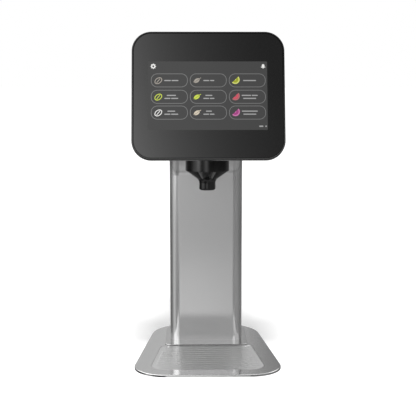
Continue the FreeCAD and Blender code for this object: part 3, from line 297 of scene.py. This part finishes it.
hoses = ["water_tube"] + [f"flavour_tube_{number}" for number in range(1, 9)]
finish_nodes(moulded("hose_milky", (0.66, 0.69, 0.70), (0.80, 0.83, 0.84), 0.22), *hoses)
finish_nodes(moulded("acetal_white", (0.72, 0.72, 0.70), (0.82, 0.82, 0.80), 0.32), "manifold",
             "nozzle_diffuser")
finish_nodes(moulded("fitting_grey", (0.36, 0.37, 0.38), (0.46, 0.47, 0.48), 0.34), "flavour_fittings",
             "water_fitting")
finish_nodes(moulded("silicone", (0.56, 0.56, 0.53), (0.68, 0.68, 0.65), 0.45), "duckbill_valves")
finish_nodes(moulded("rubber", (0.012,) * 3, (0.03,) * 3, 0.5, 900.0), "socket_o_rings", "data_cable")


# The lit picture: a mid grey area of the touch glass, about 153 by 89 mm, with a settings wheel and
# a bell in its top corners and three by three rounded buttons, each with a plain sign and short bars
# for a label. It shines by itself, so the room hardly changes it. Millimetres from the head's middle.
HEAD_CENTRE = Vector((0, -0.2033, 0.3711))
HEAD = Matrix((
    (1, 0, 0, HEAD_CENTRE.x),
    (0, math.sin(TILT), -math.cos(TILT), HEAD_CENTRE.y),
    (0, math.cos(TILT), math.sin(TILT), HEAD_CENTRE.z),
    (0, 0, 0, 1),
))
MILLIMETRES = Matrix.Scale(0.001, 4)
GLASS_FACE = -0.3
PICTURE_RISE = 0.05
PICTURE_FACE = GLASS_FACE + PICTURE_RISE
SIGN_RISE = 0.04


def opened(mesh, face, rim):
    """Leaves only the rim of a face."""
    bmesh.ops.inset_region(mesh, faces=[face], thickness=rim, use_boundary=True, use_even_offset=True)
    bmesh.ops.delete(mesh, geom=[face], context="FACES_ONLY")


def rounded_plate(mesh, width, height, radius, x=0.0, y=0.0, rim=None):
    """Flat face with round corners, or only its rim of the given width."""
    corners = [mesh.verts.new((x + side * width / 2, y + end * height / 2, 0))
               for side, end in ((-1, -1), (1, -1), (1, 1), (-1, 1))]
    mesh.faces.new(corners)
    made = bmesh.ops.bevel(mesh, geom=corners, offset=radius, offset_type="OFFSET", segments=8, profile=0.5,
                           affect="VERTICES", material=-1, clamp_overlap=True)
    if rim:
        opened(mesh, made["verts"][0].link_faces[0], rim)


def lit_piece(name, mesh, low, rise, material):
    """Gives the flat faces their thickness and lays them on the head's face."""
    flat = mesh.faces[:]
    bmesh.ops.recalc_face_normals(mesh, faces=flat)
    for face in flat:
        if face.normal.z < 0:
            face.normal_flip()
    made = bmesh.ops.extrude_face_region(mesh, geom=flat, use_keep_orig=True)
    lifted = [part for part in made["geom"] if isinstance(part, bmesh.types.BMVert)]
    bmesh.ops.translate(mesh, verts=lifted, vec=(0, 0, rise))
    bmesh.ops.translate(mesh, verts=mesh.verts, vec=(0, 0, low))
    bmesh.ops.recalc_face_normals(mesh, faces=mesh.faces)
    bmesh.ops.transform(mesh, matrix=HEAD @ MILLIMETRES, verts=mesh.verts)
    data = bpy.data.meshes.new(name)
    mesh.to_mesh(data)
    mesh.free()
    piece = bpy.data.objects.new(name, data)
    bpy.context.collection.objects.link(piece)
    data.materials.append(material)
    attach(piece, "dispenser")


def glow(name, dark, light):
    """Picture that shines by itself, uneven from its back light, with a painted reflection weaker to the
    right.
    """
    shine = Finish(name, base_color=(0.0, 0.0, 0.0), specular_ior_level=0.12, emission_strength=1.0)
    spread = shine.noise(11.0, detail=1.0)
    across = shine.part_of(shine.place(), "X")
    # Painted reflection: the shine falls off towards the right.
    shine.set(emission_color=shine.blend(spread * 0.6 + 0.2 - across * 4.0, dark, light))
    shine.set(roughness=spread * 0.1 + 0.35)
    return shine.owner


PICTURE_SIZE = (152.5, 89.1, 1.2)
PICTURE_MIDDLE = (-0.95, -0.45)
picture = bmesh.new()
rounded_plate(picture, *PICTURE_SIZE, *PICTURE_MIDDLE)
ground = glow("glow_ground", (0.052,) * 3, (0.068,) * 3)
lit_piece("picture_ground", picture, GLASS_FACE, PICTURE_RISE, ground)

BUTTON_COLUMNS = (-49.7, -0.1, 49.7)
BUTTON_ROWS = (19.3, -2.05, -22.55)
BUTTON_SIZE = (46.7, 17.7, 8.0)
outlines = bmesh.new()
for x in BUTTON_COLUMNS:
    for y in BUTTON_ROWS:
        rounded_plate(outlines, *BUTTON_SIZE, x, y, rim=0.6)
outline = glow("glow_outline", (0.20,) * 3, (0.26,) * 3)
lit_piece("button_outlines", outlines, PICTURE_FACE, SIGN_RISE, outline)

# Labels, column by column: where their middle is, then for each row its lines of word lengths. The
# first line's height in a button follows from the number of lines. Two small marks stand in the
# bottom right corner.
LABELS = (
    (-47.2, ((8.4, 8.6),), ((11.6,), (7.6, 8.9)), ((9.8,), (7.6, 8.9))),
    (0.6, ((7.6, 5.2),), ((8.8,), (7.2, 5.8)), ((7.4,), (7.2, 5.8))),
    (52.6, ((16.4,),), ((12.0, 7.4), (16.6,)), ((20.2,), (16.4,))),
)
FIRST_LINE = {1: -0.2, 2: 1.8}
LINE_GAP = 3.9
WORD_GAP = 1.0
BAR_HEIGHT = 1.4
BAR_RADIUS = 0.5
CORNER_MARKS = ((67.05, 5.1), (73.15, 1.9))
MARK_LEVEL = -40.3
MARK_HEIGHT = 1.8
labels = bmesh.new()
for middle, *column in LABELS:
    for row, lines in zip(BUTTON_ROWS, column):
        for line, words in enumerate(lines):
            level = row + FIRST_LINE[len(lines)] - LINE_GAP * line
            start = middle - (sum(words) + WORD_GAP * (len(words) - 1)) / 2
            for length in words:
                rounded_plate(labels, length, BAR_HEIGHT, BAR_RADIUS, start + length / 2, level)
                start += length + WORD_GAP
for x, length in CORNER_MARKS:
    rounded_plate(labels, length, MARK_HEIGHT, BAR_RADIUS, x, MARK_LEVEL)
lit_piece("label_bars", labels, PICTURE_FACE, SIGN_RISE, glow("glow_label", (0.34,) * 3, (0.42,) * 3))


def disc(mesh, radius, x=0.0, y=0.0, stretch=1.0, segments=28, rim=None):
    """Flat round or oval face, or only its rim."""
    verts = bmesh.ops.create_circle(mesh, cap_ends=True, radius=radius, segments=segments)["verts"]
    bmesh.ops.scale(mesh, verts=verts, vec=(1.0, stretch, 1.0))
    bmesh.ops.translate(mesh, verts=verts, vec=(x, y, 0))
    if rim:
        opened(mesh, verts[0].link_faces[0], rim)


def moved_in(mesh, sign, x, y, turn):
    """Turns a finished sign, moves it to its place and adds it to the others."""
    bmesh.ops.rotate(sign, verts=sign.verts, matrix=Matrix.Rotation(math.radians(turn), 3, "Z"))
    bmesh.ops.translate(sign, verts=sign.verts, vec=(x, y, 0))
    carrier = bpy.data.meshes.new("sign")
    sign.to_mesh(carrier)
    sign.free()
    mesh.from_mesh(carrier)
    bpy.data.meshes.remove(carrier)


def upper_part(sign, height=0.0):
    """Cuts off what lies below a height."""
    bmesh.ops.bisect_plane(sign, geom=sign.verts[:] + sign.edges[:] + sign.faces[:],
                           plane_co=(0, height, 0), plane_no=(0, 1, 0), clear_inner=True)


def bean_sign(mesh, x, y):
    """Oval rim with a slanting groove across it."""
    bean = bmesh.new()
    groove = bmesh.new()
    rounded_plate(groove, 7.2, 0.9, 0.44)
    moved_in(bean, groove, 0, 0, 14)
    disc(bean, 5.4, stretch=0.70, rim=1.0)
    moved_in(mesh, bean, x, y, 37)


def leaf_sign(mesh, x, y):
    """Pointed oval from two arcs, parted along its middle, with a short stem."""
    leaf = bmesh.new()
    reach, depth = 4.9, 2.7
    arc = (reach ** 2 + depth ** 2) / (2 * depth)
    disc(leaf, arc, 0, depth - arc, segments=72)
    upper_part(leaf, 0.22)
    other = bmesh.ops.duplicate(leaf, geom=leaf.verts[:] + leaf.edges[:] + leaf.faces[:])["geom"]
    other = [part for part in other if isinstance(part, bmesh.types.BMVert)]
    bmesh.ops.scale(leaf, verts=other, vec=(0.92, -0.9, 1.0))
    rounded_plate(leaf, 2.6, 0.7, 0.3, 5.4, 0.2)
    moved_in(mesh, leaf, x - 0.6, y, 34)


def half_disc(mesh, x, y, radius, rim=None):
    """Half round, its straight side up to the left."""
    half = bmesh.new()
    disc(half, radius, rim=rim, segments=40)
    upper_part(half)
    moved_in(mesh, half, x - 1.4, y + 1.5, -136)


def rind_sign(mesh, x, y):
    """Rind and middle of half a fruit."""
    half_disc(mesh, x, y, 5.7, rim=1.6)
    half_disc(mesh, x, y, 1.2)


def pulp_sign(mesh, x, y):
    """Pulp of half a fruit, between its rind and its middle."""
    half_disc(mesh, x, y, 3.9, rim=2.4)


def wheel_sign(mesh, x, y):
    """Ring with eight round teeth."""
    disc(mesh, 2.7, x, y, rim=1.4)
    for tooth in range(8):
        angle = math.radians(45 * tooth)
        disc(mesh, 0.62, x + 2.95 * math.cos(angle), y + 2.95 * math.sin(angle), segments=10)


def bell_sign(mesh, x, y):
    """Round body, wide lip and clapper."""
    rounded_plate(mesh, 3.4, 3.6, 1.5, x, y + 1.0)
    rounded_plate(mesh, 5.4, 1.1, 0.4, x, y - 1.0)
    disc(mesh, 0.8, x, y - 2.1, segments=12)


# Signs by colour, each with the column and row of its button.
SIGNS = {
    "beige": ((0.36, 0.33, 0.29), (bean_sign, 0, 0), (leaf_sign, 1, 0)),
    "lime": ((0.56, 0.66, 0.08), (bean_sign, 0, 1), (leaf_sign, 1, 1)),
    "white": ((0.80, 0.80, 0.78), (bean_sign, 0, 2)),
    "cream": ((0.62, 0.55, 0.44), (leaf_sign, 1, 2)),
    "lime_rind": ((0.62, 0.66, 0.16), (rind_sign, 2, 0)),
    "lime_pulp": ((0.33, 0.36, 0.02), (pulp_sign, 2, 0)),
    "red_rind": ((0.42, 0.14, 0.15), (rind_sign, 2, 1)),
    "red_pulp": ((0.60, 0.08, 0.12), (pulp_sign, 2, 1)),
    "pink_rind": ((0.56, 0.17, 0.38), (rind_sign, 2, 2)),
    "pink_pulp": ((0.36, 0.05, 0.22), (pulp_sign, 2, 2)),
}
SIGN_LEFT = 14.0
SIGN_DROP = 0.4
CORNER_REACH = 70.2
CORNER_HEIGHT = 37.7
for color, (shade, *signs) in SIGNS.items():
    mesh = bmesh.new()
    for sign, column, row in signs:
        sign(mesh, BUTTON_COLUMNS[column] - SIGN_LEFT, BUTTON_ROWS[row] - SIGN_DROP)
    if color == "white":
        wheel_sign(mesh, -CORNER_REACH, CORNER_HEIGHT)
        bell_sign(mesh, CORNER_REACH, CORNER_HEIGHT)
    light = tuple(min(1.0, part * 1.12) for part in shade)
    lit_piece(f"sign_{color}", mesh, PICTURE_FACE, SIGN_RISE, glow(f"glow_{color}", shade, light))


# The counter: a wide pale floor that keeps the object's shadow. It isn't part of the object. What a
# camera sees of it is lifted to white, least close to the object, where the shadow falls.
NEAR_LIFT = (0.32,) * 3
FAR_LIFT = (0.7,) * 3
floor_mesh = bmesh.new()
bmesh.ops.create_grid(floor_mesh, x_segments=1, y_segments=1, size=30.0)
floor_data = bpy.data.meshes.new("floor")
floor_mesh.to_mesh(floor_data)
floor_mesh.free()
floor = bpy.data.objects.new("floor", floor_data)
bpy.context.collection.objects.link(floor)
pale = Finish("floor_pale", base_color=(0.78, 0.78, 0.78), roughness=0.9, specular_ior_level=0.0)
seen = pale.node("ShaderNodeLightPath", output="Is Camera Ray")
clear = pale.node("ShaderNodeLightPath", output="Is Transmission Ray")
outward = pale.node("ShaderNodeVectorMath", {"operation": "LENGTH"}, {0: pale.place()}, output="Value")
lift = pale.blend(outward.step(0.3, 0.9), NEAR_LIFT, FAR_LIFT)
pale.set(emission_color=lift, emission_strength=seen + clear)
floor_data.materials.append(pale.owner)
floor.visible_glossy = False


# The room: what metal, glass and gloss mirror, as a tone for each bearing and height in degrees.
# Bearings run from -180 to 180, 0 in front of the screen and positive to its right. From the
# horizon down three rows of tones follow: what the nozzle, the column and its foot mirror.
world = bpy.data.worlds.new("studio")
bpy.context.scene.world = world
room = Finish("studio", owner=world)
ray = room.node("ShaderNodeTexCoord", output="Generated")


def mixed(amount, first, second):
    return room.node("ShaderNodeMix", {"data_type": "FLOAT"}, {0: amount, 2: first, 3: second})


def kept_between(value, low, high):
    return room.node("ShaderNodeClamp", {}, {"Value": value, "Min": low, "Max": high})


rightward, backward, upward = (room.part_of(ray, axis) for axis in "XYZ")
bearing = room.node("ShaderNodeMath", {"operation": "ARCTAN2"}, {0: rightward, 1: backward * -1.0})
bearing = bearing * math.degrees(1.0)
height = room.node("ShaderNodeMath", {"operation": "ARCSINE"}, {0: upward}) * math.degrees(1.0)
NOZZLE_TONES = (
    (-180, 0.40), (-150, 0.30), (-134, 0.14), (-112, 0.10), (-95, 0.16), (-87, 0.30), (-80, 0.45),
    (-73, 0.73), (-67, 1.00), (-60, 1.35), (-54, 2.00), (-48, 2.55), (-43, 2.35), (-37, 1.20), (-32, 0.62),
    (-26, 0.42), (-21, 0.50), (-15, 0.75), (-10, 1.25), (-5, 1.35), (1, 0.80), (6, 0.34), (11, 0.14),
    (18, 0.05), (40, 0.05), (100, 0.06), (150, 0.20), (180, 0.40),
)
COLUMN_TONES = (
    (-180, 0.43), (-151, 0.72), (-134, 0.22), (-122, 0.08), (-103, 0.06), (-95, 0.20), (-87, 0.68),
    (-80, 1.15), (-73, 1.45), (-64, 1.38), (-54, 1.12), (-48, 0.72), (-43, 0.34), (-37, 0.15), (-32, 0.12),
    (-26, 0.22), (-21, 0.48), (-15, 0.82), (-10, 1.08), (-5, 1.22), (-1, 1.08), (2, 0.96), (5, 0.86),
    (8, 0.62), (14, 0.50), (30, 0.48), (45, 0.66), (70, 0.48), (100, 0.30), (120, 0.40), (150, 0.40),
    (180, 0.43),
)
FOOT_TONES = (
    (-180, 0.30), (-151, 0.40), (-134, 0.20), (-122, 0.10), (-103, 0.08), (-95, 0.18), (-86, 0.65),
    (-76, 1.15), (-66, 1.22), (-58, 0.96), (-50, 0.36), (-42, 0.08), (-34, 0.03), (-12, 0.05), (-7, 0.50),
    (-3, 1.95), (0, 2.10), (2, 1.52), (4, 0.98), (6, 0.44), (9, 0.32), (20, 0.48), (45, 0.66), (70, 0.62),
    (100, 0.38), (120, 0.42), (150, 0.36), (180, 0.30),
)
LOW_HEIGHTS = (
    (-90, 0.14), (-60, 0.22), (-45, 0.32), (-35, 0.38), (-25, 0.38), (-19, 0.24), (-17, 0.24), (-15, 0.70),
    (-14.2, 0.95), (-13, 1.00), (-11.2, 0.67), (-9.8, 0.46), (-8.3, 0.28), (-6.9, 0.80), (-5.9, 1.28),
    (0, 1.26),
)
BRIGHTEST = 3.0


def toned(angle, tones):
    """The tone at an angle, from a row that covers its whole range."""
    first, last = tones[0][0], tones[-1][0]
    stops = [((place - first) / (last - first), tone / BRIGHTEST) for place, tone in tones]
    along = (angle - first) / (last - first)
    return room.node("ShaderNodeValToRGB", {"stops": stops}, {0: along}) * BRIGHTEST


low_room = mixed(height.step(-12.5, -9.5), toned(bearing, FOOT_TONES), toned(bearing, COLUMN_TONES))
low_room = low_room * toned(height, LOW_HEIGHTS)
# The counter in front lights what looks down, such as the bend under the arm.
in_front = bearing.step(-125.0, -95.0) * bearing.step(130.0, 100.0)
low_room = low_room + in_front * height.step(-19.0, -27.0) * 0.28
low_room = mixed(height.step(-6.2, -5.4), low_room, toned(bearing, NOZZLE_TONES) * 1.1)

# Above the horizon, in front: a low box to each side, and above them a large soft one to the left,
# whose tone falls off to the right and upwards, as the screen shows.
left_box = bearing.step(-82.0, -68.0) * bearing.step(-10.0, -18.0)
right_box = bearing.step(3.0, 14.0) * bearing.step(42.0, 22.0)
right_side = bearing.step(4.0, 24.0)
level_front = 0.72 + left_box * 2.3 + right_side * 0.7 + right_box * 1.2
soft_box = 1.762 - bearing * 0.224 - height * 0.066
soft_box = kept_between(room.node("ShaderNodeMath", {"operation": "EXPONENT"}, {0: soft_box}), 0.25, 3.4)
front = mixed(height.step(17.0, 24.0), level_front, soft_box)

# Behind: dim and dimmer to the right, as the base plate shows, and bright above 20 degrees.
rear = mixed(height.step(20.0, 32.0), kept_between(0.68 - rightward * 5.5, 0.22, 0.50), 2.8)
high_room = mixed(backward.step(0.2, -0.2), rear, front)
CEILING = 0.8
high_room = mixed(height.step(38.0, 60.0), high_room, CEILING)
room_tone = mixed(height.step(-1.0, 6.0), low_room, high_room)

# A camera sees plain white, mirrors see the room, and all else is lit by a plain level.
PLAIN_LIGHT = 0.55
straight = room.node("ShaderNodeLightPath", output="Is Camera Ray")
clear = room.node("ShaderNodeLightPath", output="Is Transmission Ray")
mirrored = room.node("ShaderNodeLightPath", output="Is Glossy Ray")
tone = (straight + clear) + mirrored * room_tone + (1.0 - (straight + clear + mirrored)) * PLAIN_LIGHT
background = room.node("ShaderNodeBackground", inputs={"Color": (1.0, 1.0, 1.0), "Strength": tone})
output = room.tree.nodes.new("ShaderNodeOutputWorld")
room.tree.links.new(background.socket, output.inputs["Surface"])


# A soft lamp high in front, whose shadow falls close behind the base.
LAMP_PLACE = Vector((0.0, -2.38, 3.72))
LAMP_TARGET = Vector((0.0, -0.08, 0.2))
lamp = bpy.data.lights.new("lamp_high", "AREA")
lamp.shape = "SQUARE"
lamp.size = 0.6
lamp.energy = 150.0
holder = bpy.data.objects.new("lamp_high", lamp)
holder.location = LAMP_PLACE
holder.rotation_euler = (LAMP_TARGET - LAMP_PLACE).to_track_quat("-Z", "Y").to_euler()
holder.visible_camera = False
holder.visible_glossy = False
bpy.context.collection.objects.link(holder)


# The camera stands as the photograph's did: a long lens a little above the head's middle and to the
# left of it, tipped down and turned to the right.
CAMERA_TIPPED = 7.654
CAMERA_TURNED = 1.115
camera = bpy.data.cameras.new("camera")
camera.lens = 85.26
camera.sensor_width = 36.0
viewer = bpy.data.objects.new("camera", camera)
viewer.location = (-0.02506, -1.46545, 0.39577)
viewer.rotation_euler = (math.radians(90 - CAMERA_TIPPED), 0, math.radians(-CAMERA_TURNED))
bpy.context.collection.objects.link(viewer)
bpy.context.scene.camera = viewer
bpy.context.scene.view_settings.view_transform = "Standard"

bpy.context.view_layer.update()
